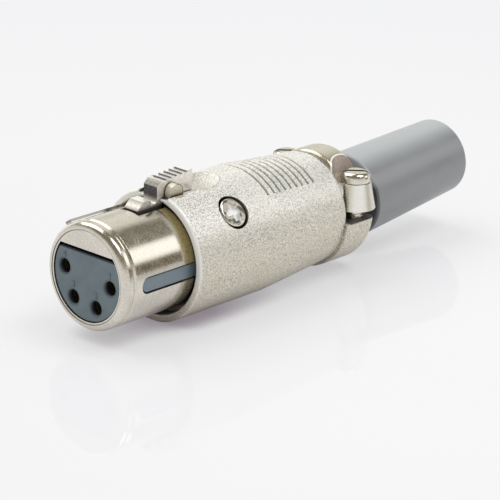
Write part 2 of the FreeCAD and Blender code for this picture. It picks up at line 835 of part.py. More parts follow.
def make_insert_screw():
    """The screw is drawn along its own Z axis, then turned to its place on the body's side."""
    body = new_body("insert_screw")
    head = size.insert_screw_head / 2
    shank = size.insert_screw_shank / 2
    seat = barrel_radius + size.fit_gap
    top = screw_top_radius
    sketch = new_sketch(body, "head_sketch", "XY_Plane", offset=seat)
    add_circle(sketch, (0, 0), head)
    extrude(body, "head", sketch, top - seat)
    sketch = new_sketch(body, "shank_sketch", "XY_Plane", offset=screw_end_radius)
    add_circle(sketch, (0, 0), shank)
    extrude(body, "shank", sketch, size.insert_screw_length - size.cross_recess_depth)
    arm = size.cross_recess_span / 2
    half = size.cross_recess_width / 2
    corners = [(arm, half), (half, half), (half, arm)]
    cross = []
    for quarter in range(4):
        for x, y in corners:
            for step in range(quarter):
                x, y = -y, x
            cross.append((x, y))
    sketch = new_sketch(body, "cross_sketch", "XY_Plane", offset=top - size.cross_recess_depth)
    add_polygon(sketch, cross)
    extrude(body, "cross", sketch, size.insert_screw_length, cut=True)
    rim = size.insert_screw_head.value / 2

    def is_head_rim(edge):
        curve = edge.Curve
        return (isinstance(curve, Part.Circle) and abs(curve.Center.z - top.value) < 1e-4
                and abs(curve.Radius - rim) < 1e-4)

    round_edges(body, "head_rim", size.insert_screw_round, is_head_rim)
    body.Placement.Rotation = FreeCAD.Rotation(FreeCAD.Vector(1, 0, 0), size.insert_screw_angle.value)
    bind(body, "Placement.Rotation.Angle", size.insert_screw_angle)
    bind(body, "Placement.Base.x", insert_screw_x)
    return body


def make_clamp_saddle():
    body = new_body("clamp_saddle")
    dome = size.saddle_dome_radius
    centre_z = size.saddle_dome_lift
    sketch = new_sketch(body, "dome_sketch", "YZ_Plane", offset=clamp_front_x)
    add_arc_outline(sketch, (0, centre_z), dome, (dome, centre_z), (-dome, centre_z),
                    [(-dome, upper_gap), (dome, upper_gap)])
    extrude(body, "dome", sketch, clamp_rear_x - clamp_front_x)
    round_edges(body, "dome_front", size.saddle_front_round,
                lambda edge: is_circle(edge, clamp_front_x, centre_z, dome))
    round_edges(body, "dome_rear", size.saddle_rear_round,
                lambda edge: is_circle(edge, clamp_rear_x, centre_z, dome))
    for name, side in (("left", -1), ("right", 1)):
        ear = body.newObject("PartDesign::AdditiveCone", "clamp_saddle_ear_" + name)
        bind(ear, "Radius1", clamp_ear_radius + size.clamp_ear_flare)
        bind(ear, "Radius2", clamp_ear_radius)
        bind(ear, "Height", size.clamp_ear_height - upper_gap)
        bind(ear, "Placement.Base.x", clamp_screw_x)
        bind(ear, "Placement.Base.y", clamp_screw_y * side)
        bind(ear, "Placement.Base.z", upper_gap)
    along_z(body, "spot_faces", clamp_sides, clamp_ear_radius + size.spot_face_margin,
            size.clamp_ear_height, through, cut=True)
    along_z(body, "screw_holes", clamp_sides, size.clamp_thread / 2 + size.moving_gap, -through / 2,
            through, cut=True)
    along_x(body, "bore", (0, 0), neck_hole_radius, rear_x, through, cut=True)
    return body


def make_clamp_screw(label, side):
    """The screw is drawn upright on its own axis, with the underside of its head at zero."""
    body = new_body(label)
    head = clamp_head_radius
    shank = size.clamp_thread / 2
    sketch = new_sketch(body, "head_sketch", "XY_Plane")
    add_circle(sketch, (0, 0), head)
    extrude(body, "head", sketch, size.clamp_head_height)
    rim = head.value
    height = size.clamp_head_height.value

    def is_head_rim(edge):
        curve = edge.Curve
        return (isinstance(curve, Part.Circle) and abs(curve.Center.z - height) < 1e-4
                and abs(curve.Radius - rim) < 1e-4)

    round_edges(body, "head_dome", size.clamp_head_round, is_head_rim)
    sketch = new_sketch(body, "shank_sketch", "XY_Plane", offset=-size.clamp_screw_length)
    add_circle(sketch, (0, 0), shank)
    extrude(body, "shank", sketch, size.clamp_screw_length)
    floor = size.clamp_head_height - size.clamp_slot_depth
    half = size.clamp_slot_width / 2
    sketch = new_sketch(body, "slot_sketch", "XY_Plane", offset=floor)
    add_polygon(sketch, box_points(-head * 2, -half, head * 2, half))
    extrude(body, "slot", sketch, size.clamp_head_height, cut=True)
    body.Placement.Rotation = FreeCAD.Rotation(FreeCAD.Vector(0, 0, 1), size.clamp_slot_angle.value)
    bind(body, "Placement.Rotation.Angle", size.clamp_slot_angle)
    bind(body, "Placement.Base.x", clamp_screw_x)
    bind(body, "Placement.Base.y", clamp_screw_y * side)
    bind(body, "Placement.Base.z", size.clamp_ear_height + size.fit_gap)
    return body


def make_boot():
    """A soft sleeve: its neck sits straight in the clamp and its tube leans up from there."""
    body = new_body("cable_boot")
    bore = size.cable_bore / 2
    radius = size.boot_diameter / 2
    rear_radius = size.boot_rear_diameter / 2
    flange_rear = rear_x - size.rear_wall - size.fit_gap
    flange_front = flange_rear - size.boot_flange_length
    flange_radius = neck_radius + size.boot_flange_lip
    neck = neck_radius - size.fit_gap
    neck_rear = boot_front_x + size.boot_round
    outline = [
        (flange_front, 0),
        (flange_front, flange_radius),
        (flange_rear, flange_radius),
        (flange_rear, neck),
        (neck_rear, neck),
        (neck_rear, 0),
    ]
    revolve(body, "neck", outline)
    length = size.boot_length
    lean_revolve(body, "tube", [(0, 0), (0, radius), (length, rear_radius), (length, 0)])
    end_x, end_z = lean_point(length, 0)
    round_edges(body, "rear_edge", size.boot_round, lambda edge: is_circle(edge, end_x, end_z, rear_radius))
    round_edges(body, "front_edge", size.boot_front_round,
                lambda edge: is_circle(edge, boot_front_x, -size.boot_drop, radius))
    bore_length = length + size.boot_round
    lean_revolve(body, "tube_bore", [(0, 0), (0, bore), (bore_length, bore), (bore_length, 0)],
                 kind="PartDesign::Groove")
    along_x(body, "neck_bore", (0, 0), bore, flange_front - size.boot_round,
            neck_rear - flange_front + size.boot_round * 2, cut=True)
    return body


def lean_point(along, out):
    """A point on the X-Z plane, from its place along and out from the leaning axis of the boot."""
    level = cosine(size.boot_lean)
    rise = sine(size.boot_lean)
    along = Formula.of(along)
    out = Formula.of(out)
    return boot_front_x + along * level - out * rise, along * rise + out * level - size.boot_drop


def lean_revolve(body, name, points, kind="PartDesign::Revolution"):
    """Turns an outline a full turn about the leaning axis of the boot."""
    sketch = new_sketch(body, name + "_sketch", "XZ_Plane")
    corners = [lean_point(along, out) for along, out in points]
    add_polygon(sketch, corners)
    first, last = lean_point(0, 0), lean_point(size.boot_length, 0)
    axis = sketch.addGeometry(Part.LineSegment(vector(first), vector(last)), True)
    place_point(sketch, axis, 1, first)
    place_point(sketch, axis, 2, last)
    feature = body.newObject(kind, "%s_%s" % (body.Label, name))
    feature.Profile = sketch
    feature.ReferenceAxis = (sketch, ["Axis0"])
    feature.Angle = 360
    return feature


pieces = [make_body_shell(), make_barrel(), make_insulator()]
for number, angle in enumerate(CONTACT_ANGLES, start=1):
    pieces.append(make_contact(number, angle))
pieces += [make_lever(), make_latch_pin(), make_latch_spring(), make_ground_lug()]
pieces += [make_insert_screw(), make_clamp_saddle()]
pieces += [make_clamp_screw("clamp_screw_left", -1), make_clamp_screw("clamp_screw_right", 1)]
pieces.append(make_boot())
doc.recompute()

# Nothing is written unless every object and every piece is sound

for item in doc.Objects:
    if "Invalid" in item.State or "Error" in item.State:
        raise RuntimeError("failed object: %s %s" % (item.Label, item.State))
for piece in pieces:
    if piece.Shape.isNull() or not piece.Shape.isValid():
        raise RuntimeError("bad shape: %s" % piece.Label)

os.makedirs("parts", exist_ok=True)
for piece in pieces:
    piece.Shape.exportStep("parts/%s.step" % piece.Label)
    box = piece.Shape.BoundBox
    print("%-18s solids %d volume %8.2f  x %.2f %.2f  y %.2f %.2f  z %.2f %.2f" % (
        piece.Label, len(piece.Shape.Solids), piece.Shape.Volume,
        box.XMin, box.XMax, box.YMin, box.YMax, box.ZMin, box.ZMax))
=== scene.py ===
"""Looks of the cable connector: materials, small details, floor, light and camera."""
import math

import bpy
from mathutils import Matrix, Vector


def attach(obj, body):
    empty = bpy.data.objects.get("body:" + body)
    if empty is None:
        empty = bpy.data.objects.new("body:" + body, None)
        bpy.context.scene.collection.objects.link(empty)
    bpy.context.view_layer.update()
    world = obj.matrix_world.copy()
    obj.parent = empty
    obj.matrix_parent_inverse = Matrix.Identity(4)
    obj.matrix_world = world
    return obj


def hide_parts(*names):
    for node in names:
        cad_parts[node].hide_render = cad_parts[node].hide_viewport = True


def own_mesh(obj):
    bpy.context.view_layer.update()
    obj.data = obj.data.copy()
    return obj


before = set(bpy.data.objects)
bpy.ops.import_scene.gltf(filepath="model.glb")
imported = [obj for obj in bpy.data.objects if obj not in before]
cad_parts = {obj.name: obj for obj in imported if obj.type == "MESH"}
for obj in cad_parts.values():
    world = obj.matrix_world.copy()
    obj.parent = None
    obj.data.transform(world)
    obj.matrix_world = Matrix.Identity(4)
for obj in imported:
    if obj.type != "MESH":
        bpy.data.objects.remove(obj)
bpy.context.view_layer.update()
MM = 0.001
UP = (0.0, 0.0, 1.0)
FORWARD = (-1.0, 0.0, 0.0)

# Nose and insulator, sizes from the model in millimetres and degrees
FACE_X = 0.25
CONTACT_CIRCLE = 4.55
CONTACT_ANGLES = (186.4, 246.4, 306.4, 6.4)
HOLE_RADIUS = 1.05
INSULATOR_RADIUS = 6.55
INSULATOR_FLAT = 3.5
RIB_RADIUS = 7.0
BARREL_RADIUS = 7.95
BARREL_BAND_X = 11.8
BAND_UPPER_Z = (-6.0, 3.0)
BAND_SLANT = 0.6
BAND_SLANT_Z = (3.5, 7.5)
LIP_LINE = (6.83, 6.93)
LIP_X = (0.15, 0.3)

# Raised contact numbers
DIGIT_SIZE = 1.5
DIGIT_RISE = 1.8
DIGIT_DEPTH = 0.04
DIGIT_BEVEL = 0.012
DIGIT_STANDOFF = 0.03

# Latch, thumb scoop and spring
LATCH_PIVOT = (15.4, 0.0, 9.7)
EAR_RADIUS = 1.35
EAR_REACH = 2.6
LEVER_STEM_TOP = 8.35
LEVER_RIDGE_Z = 11.2
SCOOP_CENTRE = (21.6, 0.0, 14.95)
SCOOP_RADIUS = 6.5
SCOOP_SLANT = -0.6
SPRING_CENTRE = (11.55, 0.0)
SPRING_Z = (3.55, 6.75)
SPRING_RADIUS = 0.925
SPRING_WIRE = 0.175
SPRING_TURNS = 4
WIRE_CORNERS = 10
COIL_STEPS = 24

# Body
REST_Z = -9.65
RIM_X = 13.1
RIM_UPPER_Z = (-6.0, 0.0)
REAR_X = 46.7
SEAM_X = (40.7, 42.7)
SEAM_Z = (-2.5, -1.0)
UNDERSIDE_Z = (-8.0, -4.5)
BODY_RADIUS = 9.85
TAPER_X = (31.5, 45.5)
TAPER_DROP = 1.1
GRIP_X = (30.1, 41.4)
GROOVE_DEPTH = 0.35
INSERT_SCREW_X = 22.35
INSERT_SCREW_ANGLE = 48.5
INSERT_SCREW_TOP = 9.75
CROSS_DEPTH = 0.4
CROSS_REACH = 1.5

# Cable clamp and boot
CLAMP_GAP = (-0.75, 0.95)
CLAMP_SCREW_X = 50.05
CLAMP_SCREW_Y = 6.9
CLAMP_SEAT_Z = 5.0
CLAMP_SEAT_RADIUS = 3.65
CLAMP_HIGHLIGHT_SIDE = (-0.606, -0.794, 0.0)
CLAMP_THREAD_RADIUS = 1.25
THREAD_PITCH = 0.45
THREAD_REACH = 0.16
THREAD_SINK = 0.02
BOOT_FRONT = (56.2, 0.0, -0.45)
BOOT_LEAN = 4.4
BOOT_SHADE_Z = (2.0, 3.2)

# The photo's viewpoint, in millimetres and degrees
TARGET = Vector((40.0, 0.0, 0.0))
TURN = -48.32
LIFT = 19.63
ROLL = 1.96
DISTANCE = 380.0
OFFSET = (3.93, 5.25)
FOCAL_PIXELS = 2514.58
PICTURE_PIXELS = 500.0
SENSOR = 36.0

# The floor's half width in metres, then where it fades and darkens, in millimetres from its middle
FLOOR_HALF = 0.4
FLOOR_FADE = (60.0, 220.0)
SHADOW_GROWS_X = (-33.0, -27.0)
SHADOW_ENDS_X = (-18.0, -4.0)

# Colours of the studio
BACKDROP = (0.887, 0.887, 0.905)
FLOOR_DULL = (0.81, 0.81, 0.815)
FLOOR_PALE = (0.84, 0.84, 0.845)
FLOOR_SHADOW = (0.54, 0.49, 0.53)
FULL_LIGHT = (1.0, 1.0, 1.0)
SKY_LOW = (0.85, 0.84, 0.80)
SKY_HIGH = (0.24, 0.23, 0.18)
SKY_SOFT = (0.64, 0.64, 0.66)

# Round patches of the studio: direction, edge and core in degrees, colour
SKY_PATCHES = (
    ((0.70, -0.71, 0.06), 17.0, 8.0, (0.20, 0.17, 0.12)),
    ((0.70, 0.45, 0.54), 24.0, 8.0, (0.95, 0.95, 0.88)),
    ((0.70, -0.56, 0.44), 16.0, 7.0, (1.6, 1.6, 1.58)),
    ((0.25, 0.95, 0.06), 30.0, 12.0, (1.2, 1.2, 1.18)),
)

# Painted shade in corners, and in the slots and threads of screws
CREVICE_SHADE = (0.06, 0.055, 0.045)
SLOT_SHADE = (0.06, 0.055, 0.04)

# Colours of the satin body
SATIN = (0.83, 0.805, 0.745)
SATIN_CLOUD = (0.80, 0.755, 0.655)
SIDE_SHADE_TINT = (0.89, 0.87, 0.81)
TOP_LIGHT_TINT = (1.10, 1.12, 1.16)
UNDERSIDE_SHADE = (0.33, 0.29, 0.25)
EAR_SHADED = (0.40, 0.33, 0.22)
EAR_LIT = (0.70, 0.64, 0.50)
EAR_LINE = (0.04, 0.035, 0.025)
SCOOP_SHADE = (0.62, 0.61, 0.55)
SCOOP_LIT = (0.98, 0.97, 0.93)
SCOOP_LINE = (0.30, 0.29, 0.24)
GROOVE_SHADE = (0.17, 0.16, 0.12)
GAP_SHADE = (0.10, 0.09, 0.075)
RIM_HIGHLIGHT = (1.0, 0.98, 0.93)

# Colours of the polished pieces
POLISHED = (0.76, 0.72, 0.64)
CLAMP_EAR = (0.74, 0.71, 0.62)
CLAMP_HIGHLIGHT = (1.0, 1.0, 0.98)
CLAMP_OLIVE_REFLECTION = (0.50, 0.46, 0.32)
SEAT_WALL_REFLECTION = (0.48, 0.40, 0.35)
SEAT_EDGE_HIGHLIGHT = (0.97, 0.96, 0.93)
CROSS_WORN = (0.03, 0.03, 0.03)
CROSS_HIGHLIGHT = (0.97, 0.97, 0.95)
GOLD_DEEP = (0.40, 0.32, 0.12)
GOLD_PAINTED_LIGHT = (0.86, 0.70, 0.30)
GOLD_STAIN = (0.16, 0.13, 0.03)
KEY_RIB = (0.16, 0.16, 0.155)
LIP_DARK = (0.10, 0.10, 0.10)
BARREL_INSIDE_SHADE = (0.05, 0.045, 0.03)

# Colours of the latch, the insulator, the boot and the inner pieces
LEVER = (0.86, 0.82, 0.75)
LEVER_TOP_LIGHT = (0.97, 0.96, 0.92)
LEVER_FACE_SHADE_DARK = (0.05, 0.05, 0.048)
LEVER_FACE_SHADE_PALE = (0.14, 0.137, 0.13)
LEVER_UNDER_SHADOW = (0.03, 0.028, 0.025)
PLASTIC = (0.138, 0.183, 0.201)
PLASTIC_RIB = (0.186, 0.235, 0.268)
PLASTIC_SHADE = (0.012, 0.013, 0.016)
PLASTIC_FLAT_SHADOW = (0.014, 0.014, 0.028)
RUBBER = (0.238, 0.246, 0.256)
RUBBER_TOP_LIGHT = (0.43, 0.455, 0.465)
RUBBER_CORNER_SHADE = (0.03, 0.031, 0.034)
RUBBER_FRONT_LIGHT_HIGH = (0.36, 0.375, 0.39)
RUBBER_FRONT_SHADE_LOW = (0.045, 0.047, 0.055)
CONTACT_PLATING = (0.70, 0.64, 0.50)
SPRING_STEEL = (0.50, 0.50, 0.50)


def shade(color, factor):
    return tuple(channel * factor for channel in color)


def contact_place(angle):
    """Where a contact lies across the insulator's face, along Y and Z in millimetres."""
    turn = math.radians(angle)
    return CONTACT_CIRCLE * math.cos(turn), CONTACT_CIRCLE * math.sin(turn)


class Graph:
    """A node tree of a material or of the world, with short ways to add nodes."""

    # Places of the colour sockets on a mix node
    MIX_FACTOR = 0
    MIX_FIRST = 6
    MIX_SECOND = 7
    MIX_RESULT = 2

    def __init__(self, owner):
        owner.use_nodes = True
        self.tree = owner.node_tree
        self.tree.nodes.clear()

    def feed(self, socket, value):
        if isinstance(value, bpy.types.NodeSocket):
            self.tree.links.new(value, socket)
        elif socket.type == "RGBA" and len(value) == 3:
            socket.default_value = (*value, 1.0)
        else:
            socket.default_value = value

    def add(self, kind, inputs, **settings):
        node = self.tree.nodes.new("ShaderNode" + kind)
        for name, value in settings.items():
            setattr(node, name, value)
        for key, value in inputs.items():
            self.feed(node.inputs[key], value)
        return node

    def measure(self, operation, *vectors):
        """A number from one or two vectors, such as a length or a distance."""
        return self.add("VectorMath", dict(enumerate(vectors)), operation=operation).outputs["Value"]

    def combine(self, operation, *vectors):
        """A vector from one or two vectors."""
        return self.add("VectorMath", dict(enumerate(vectors)), operation=operation).outputs["Vector"]

    def places(self):
        """Where a point lies on the piece, in millimetres."""
        place = self.add("TexCoord", {}).outputs["Object"]
        return self.add("VectorMath", {0: place, "Scale": 1.0 / MM}, operation="SCALE").outputs["Vector"]

    def facing(self, direction):
        """How far the surface faces a direction of the piece, from minus one to one."""
        normal = self.add("TexCoord", {}).outputs["Normal"]
        return self.measure("DOT_PRODUCT", normal, direction)

    def stretched(self, vector, factors):
        return self.combine("MULTIPLY", vector, factors)

    def axis(self, vector, name):
        return self.add("SeparateXYZ", {"Vector": vector}).outputs[name]

    def distance(self, vector, point):
        return self.measure("DISTANCE", vector, point)

    def radius(self, vector):
        """How far a point lies from the X axis."""
        return self.measure("LENGTH", self.stretched(vector, (0.0, 1.0, 1.0)))

    def noise(self, vector, per_mm, detail=2.0, roughness=0.5):
        inputs = {"Vector": vector, "Scale": per_mm, "Detail": detail, "Roughness": roughness}
        return self.add("TexNoise", inputs).outputs["Fac"]

    def spread(self, value, low, high, to_low, to_high, smooth=False):
        """Value from low to high turned into to_low to to_high, held at both ends."""
        inputs = {"Value": value, "From Min": low, "From Max": high, "To Min": to_low, "To Max": to_high}
        kind = "SMOOTHSTEP" if smooth else "LINEAR"
        return self.add("MapRange", inputs, interpolation_type=kind).outputs["Result"]

    def rise(self, value, low, high, top=1.0, smooth=False):
        """Zero below low, growing to top at high."""
        return self.spread(value, low, high, 0.0, top, smooth)

    def fall(self, value, low, high, top=1.0, smooth=False):
        """Top below low, falling to zero at high."""
        return self.spread(value, low, high, top, 0.0, smooth)

    def between(self, value, low, high, soft):
        """One from low to high, falling to zero over a soft edge."""
        return self.times(self.rise(value, low - soft, low), self.fall(value, high, high + soft))

    def times(self, first, *others):
        for other in others:
            first = self.add("Math", {0: first, 1: other}, operation="MULTIPLY").outputs["Value"]
        return first

    def plus(self, first, second):
        return self.add("Math", {0: first, 1: second}, operation="ADD").outputs["Value"]

    def mix(self, factor, first, second, blend="MIX"):
        node = self.add("Mix", {}, data_type="RGBA", blend_type=blend)
        self.feed(node.inputs[self.MIX_FACTOR], factor)
        self.feed(node.inputs[self.MIX_FIRST], first)
        self.feed(node.inputs[self.MIX_SECOND], second)
        return node.outputs[self.MIX_RESULT]

    def tint(self, color, tint, factor=1.0):
        """A colour multiplied by a tint."""
        return self.mix(factor, color, tint, blend="MULTIPLY")

    def toned(self, value, low, high, color, first, last):
        """A colour that goes from one brightness to another while value goes from low to high."""
        return self.mix(self.rise(value, low, high), shade(color, first), shade(color, last))

    def crevice(self, reach_mm, closed, open_):
        """One in tight corners, falling to zero in the open."""
        node = self.add("AmbientOcclusion", {"Distance": reach_mm * MM}, samples=8)
        return self.fall(node.outputs["AO"], closed, open_, smooth=True)

    def soft_edges(self, radius_mm):
        """The surface's direction with its sharp edges rounded a little."""
        return self.add("Bevel", {"Radius": radius_mm * MM}, samples=4).outputs["Normal"]

    def bump(self, height, depth_mm, strength=1.0, under=None):
        inputs = {"Height": height, "Distance": depth_mm * MM, "Strength": strength}
        if under is not None:
            inputs["Normal"] = under
        return self.add("Bump", inputs).outputs["Normal"]

    def surface(self, **sockets):
        """The finished surface, from named inputs of the shader."""
        inputs = {name.replace("_", " "): value for name, value in sockets.items()}
        self.finish(self.add("BsdfPrincipled", inputs).outputs["BSDF"])

    def finish(self, shader, output="OutputMaterial"):
        self.add(output, {"Surface": shader})


def new_material(name):
    material = bpy.data.materials.new(name)
    return material, Graph(material)


def satin(graph, place):
    """Colour, roughness and bump of bead-blasted plating: bright and dark grains, soft clouds."""
    grain = graph.noise(place, 4.8, 2.0, 0.7)
    clouds = graph.noise(place, 0.16, 3.0)
    color = graph.toned(grain, 0.36, 0.58, SATIN, 0.45, 1.20)
    color = graph.mix(graph.rise(clouds, 0.35, 0.65, 0.35), color, SATIN_CLOUD)
    rough = graph.plus(graph.spread(clouds, 0.3, 0.7, 0.40, 0.48),
                       graph.spread(grain, 0.3, 0.7, -0.06, 0.06))
    normal = graph.bump(grain, 0.012, 0.6, graph.soft_edges(0.1))
    return color, rough, normal


def polished(graph, place, roughness):
    """Colour, roughness and bump of polished plating with fine turning lines."""
    lines = graph.noise(graph.stretched(place, (9.0, 0.25, 0.25)), 1.0, 3.0, 0.6)
    grain = graph.noise(place, 3.8, 2.0, 0.7)
    clouds = graph.noise(place, 0.35, 3.0)
    color = graph.toned(clouds, 0.35, 0.65, POLISHED, 0.92, 1.06)
    color = graph.mix(graph.rise(lines, 0.3, 0.7, 0.5), color, shade(POLISHED, 0.9))
    color = graph.mix(graph.fall(grain, 0.38, 0.60, 0.4), color, shade(POLISHED, 0.6))
    rough = graph.plus(graph.spread(clouds, 0.3, 0.7, roughness * 0.8, roughness * 1.2),
                       graph.spread(grain, 0.35, 0.65, -0.04, 0.06))
    normal = graph.bump(lines, 0.004, 0.5, graph.soft_edges(0.08))
    return color, rough, normal


def paint_ears(graph, place, color):
    """Gold on the two ears that carry the latch's pin, darker low down as painted shade, with a dark line
    round their rear half.
    """
    pin_x, _, pin_z = LATCH_PIVOT
    squeezed = graph.stretched(place, (1.0, EAR_RADIUS / EAR_REACH, 1.0))
    ear = graph.fall(graph.distance(squeezed, LATCH_PIVOT), EAR_RADIUS * 1.35, EAR_RADIUS * 1.45)
    # Painted shade and light: the gold runs from darker below the pin to paler above it
    tone = graph.rise(graph.axis(place, "Z"), pin_z - 0.3, pin_z + 1.0)
    color = graph.mix(graph.times(ear, 0.7), color, graph.mix(tone, EAR_SHADED, EAR_LIT))
    from_pin = graph.distance(graph.stretched(place, (1.0, 0.0, 1.0)), LATCH_PIVOT)
    ring = graph.between(from_pin, EAR_RADIUS - 0.14, EAR_RADIUS + 0.1, 0.03)
    rear = graph.rise(graph.axis(place, "X"), pin_x - 0.2, pin_x + 0.2, 0.85)
    return graph.mix(graph.times(ring, rear, ear), color, EAR_LINE)


def paint_scoop(graph, place, color):
    """A shaded thumb scoop behind the latch with a thin line round it, and the mask of the scoop."""
    away = graph.distance(place, SCOOP_CENTRE)
    scoop = graph.fall(away, SCOOP_RADIUS + 0.03, SCOOP_RADIUS + 0.06)
    across = graph.plus(graph.axis(place, "X"), graph.times(graph.axis(place, "Y"), SCOOP_SLANT))
    lit = graph.rise(across, SCOOP_CENTRE[0] + 1.0, SCOOP_CENTRE[0] + 4.2)
    color = graph.tint(color, graph.mix(lit, SCOOP_SHADE, SCOOP_LIT), scoop)
    brim = graph.between(away, SCOOP_RADIUS + 0.06, SCOOP_RADIUS + 0.14, 0.02)
    return graph.mix(graph.times(brim, 0.5), color, SCOOP_LINE), scoop


def paint_grooves(graph, place, color):
    """Painted shade in the bottoms of the grip grooves of the upper side."""
    along = graph.axis(place, "X")
    level = graph.plus(graph.radius(place), graph.rise(along, *TAPER_X, TAPER_DROP))
    sunk = graph.fall(level, BODY_RADIUS - GROOVE_DEPTH * 0.8, BODY_RADIUS - 0.05, 0.8)
    above = graph.rise(graph.axis(place, "Z"), 0.0, 1.0)
    return graph.mix(graph.times(sunk, above, graph.between(along, *GRIP_X, 0.1)), color, GROOVE_SHADE)


def paint_below(graph, place, color):
    """Painted shade on the underside, and in the gap between the clamp's halves."""
    height = graph.axis(place, "Z")
    # Painted shade on the underside
    color = graph.mix(graph.fall(height, *UNDERSIDE_Z, 0.55), color, UNDERSIDE_SHADE)
    # Painted shade in the gap between the clamp's halves
    behind = graph.rise(graph.axis(place, "X"), REAR_X, REAR_X + 0.1, 0.85)
    gap = graph.times(behind, graph.between(height, CLAMP_GAP[0] - 0.03, CLAMP_GAP[1], 0.05))
    return graph.mix(gap, color, GAP_SHADE)


def paint_corners(graph, place, color):
    """Painted shade in tight corners, with little of it on the front rim and on the seam below the clamp.
    """
    along = graph.axis(place, "X")
    seam = graph.times(graph.rise(along, *SEAM_X), graph.fall(graph.axis(place, "Z"), *SEAM_Z))
    off_seam = graph.spread(seam, 0.0, 1.0, 1.0, 0.1)
    off_rim = graph.spread(along, RIM_X + 0.2, RIM_X + 0.5, 0.1, 1.0)
    return graph.mix(graph.times(graph.crevice(1.2, 0.25, 0.72), off_seam, off_rim), color, CREVICE_SHADE)


def paint_rim(graph, place, color):
    """A painted highlight on the front rim's upper side, and the mask of the rim."""
    edge = graph.fall(graph.axis(place, "X"), RIM_X + 0.1, RIM_X + 0.45, 0.9)
    upper = graph.rise(graph.axis(place, "Z"), *RIM_UPPER_Z)
    outer = graph.rise(graph.radius(place), BODY_RADIUS - 1.0, BODY_RADIUS - 0.8)
    rim = graph.times(edge, upper, outer)
    return graph.mix(rim, color, RIM_HIGHLIGHT), rim


def body_nickel():
    """The satin body, paler above as painted light, with its ears, scoop, grooves, gap, corners and rim
    painted.
    """
    material, graph = new_material("satin_nickel_body")
    place = graph.places()
    color, rough, normal = satin(graph, place)
    # Painted light and shade: paler where the body faces up, darker on its sides
    up = graph.rise(graph.facing(UP), 0.0, 0.65)
    color = graph.tint(color, graph.mix(up, SIDE_SHADE_TINT, TOP_LIGHT_TINT))
    color = paint_ears(graph, place, color)
    color, scoop = paint_scoop(graph, place, color)
    color = paint_grooves(graph, place, color)
    color = paint_below(graph, place, color)
    color = paint_corners(graph, place, color)
    color, rim = paint_rim(graph, place, color)
    metal = graph.spread(graph.plus(rim, scoop), 0.0, 1.0, 0.6, 0.1)
    graph.surface(Base_Color=color, Metallic=metal, Roughness=rough, Normal=normal)
    return material


def clamp_nickel():
    """The smoother upper half of the clamp: a painted highlight on its ears, a painted olive reflection
    beside its screw seats, a painted reflection on the seat walls and painted highlights on the seat edges.
    """
    material, graph = new_material("satin_nickel_clamp")
    place = graph.places()
    color, rough, normal = polished(graph, place, 0.26)
    above = graph.rise(graph.axis(place, "Z"), CLAMP_SEAT_Z + 0.1, CLAMP_SEAT_Z + 0.3)
    # Painted highlight down the middle of the ears, on the side they face
    highlight = graph.rise(graph.facing(CLAMP_HIGHLIGHT_SIDE), 0.86, 0.98, smooth=True)
    ear = graph.mix(highlight, CLAMP_EAR, CLAMP_HIGHLIGHT)
    color = graph.mix(graph.fall(above, 0.0, 1.0, 0.8), color, ear)
    either_side = graph.combine("ABSOLUTE", place)
    # Painted reflection: olive beside the screw seats
    olive = graph.times(above, graph.rise(graph.axis(either_side, "Y"), 0.0, 3.5, 0.6))
    color = graph.mix(olive, color, CLAMP_OLIVE_REFLECTION)
    flat = graph.stretched(either_side, (1.0, 1.0, 0.0))
    away = graph.distance(flat, (CLAMP_SCREW_X, CLAMP_SCREW_Y, 0.0))
    # Painted reflection on the seat walls
    wall = graph.between(away, CLAMP_SEAT_RADIUS - 0.1, CLAMP_SEAT_RADIUS + 0.03, 0.02)
    wall = graph.times(above, wall)
    color = graph.mix(wall, color, SEAT_WALL_REFLECTION)
    # Painted highlight along the seat edges
    edge = graph.between(away, CLAMP_SEAT_RADIUS + 0.06, CLAMP_SEAT_RADIUS + 0.24, 0.03)
    edge = graph.times(above, edge)
    color = graph.mix(edge, color, SEAT_EDGE_HIGHLIGHT)
    # Painted shade in the clamp's tight corners
    color = graph.mix(graph.crevice(0.5, 0.25, 0.7), color, CREVICE_SHADE)
    metal = graph.spread(graph.plus(wall, edge), 0.0, 1.0, 0.9, 0.2)
    graph.surface(Base_Color=color, Metallic=metal, Roughness=rough, Normal=normal)
    return material


def screw_nickel():
    """Polished screws, with painted shade in their slots and threads."""
    material, graph = new_material("screw_nickel")
    color, rough, normal = polished(graph, graph.places(), 0.12)
    # Painted shade in slots and threads
    color = graph.mix(graph.crevice(0.4, 0.05, 0.3), color, SLOT_SHADE)
    graph.surface(Base_Color=color, Metallic=1.0, Roughness=rough, Normal=normal)
    return material


def insert_screw_nickel():
    """The polished screw in the body's side, worn dark round its cross, with a painted highlight at the
    bottom of the cross.
    """
    material, graph = new_material("insert_screw_nickel")
    place = graph.places()
    color, rough, normal = polished(graph, place, 0.12)
    turn = math.radians(INSERT_SCREW_ANGLE)
    axis = (0.0, -math.sin(turn), math.cos(turn))
    offset = graph.combine("SUBTRACT", place, (INSERT_SCREW_X, 0.0, 0.0))
    height = graph.measure("DOT_PRODUCT", offset, axis)
    away = graph.measure("LENGTH", graph.combine("CROSS_PRODUCT", offset, axis))
    near = graph.fall(away, CROSS_REACH, CROSS_REACH + 0.1)
    deep = graph.fall(height, INSERT_SCREW_TOP - CROSS_DEPTH + 0.1, INSERT_SCREW_TOP - 0.1)
    cross = graph.times(near, deep)
    strokes = graph.rise(graph.noise(place, 1.0, 1.0), 0.48, 0.56, 0.75)
    worn = graph.times(strokes, graph.between(away, CROSS_REACH - 0.3, CROSS_REACH + 0.4, 0.15))
    color = graph.mix(worn, color, CROSS_WORN)
    # Painted highlight at the bottom of the cross
    color = graph.mix(cross, color, CROSS_HIGHLIGHT)
    # Painted shade in the cross and in the recess round the head
    color = graph.mix(graph.crevice(0.25, 0.1, 0.4), color, SLOT_SHADE)
    metal = graph.spread(cross, 0.0, 1.0, 1.0, 0.1)
    graph.surface(Base_Color=color, Metallic=metal, Roughness=rough, Normal=normal)
    return material


